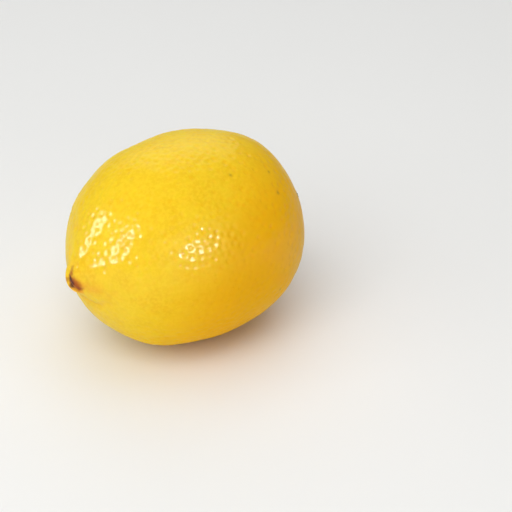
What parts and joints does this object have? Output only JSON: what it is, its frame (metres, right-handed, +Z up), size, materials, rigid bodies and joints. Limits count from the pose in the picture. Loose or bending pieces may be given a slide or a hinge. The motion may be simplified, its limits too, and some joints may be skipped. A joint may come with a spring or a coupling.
{
  "type": "lemon",
  "caption": "Whole ripe lemon lying on its side, oval with a nipple at the blossom end and a dried stem button at the other.",
  "frame": {"origin": "on the small flat spot that the fruit rests on, under its widest place", "axes": "X along the fruit's long axis, with the nipple towards -X and the stem towards +X; +Z up"},
  "size_m": [0.0824, 0.062, 0.0615],
  "materials": {
    "rind": "waxy pitted rind with soft gloss",
    "dry_stem": "dry, rough"
  },
  "bodies": {
    "root": {"fruit": "rind", "stem_button": "dry_stem"}
  },
  "joints": []
}
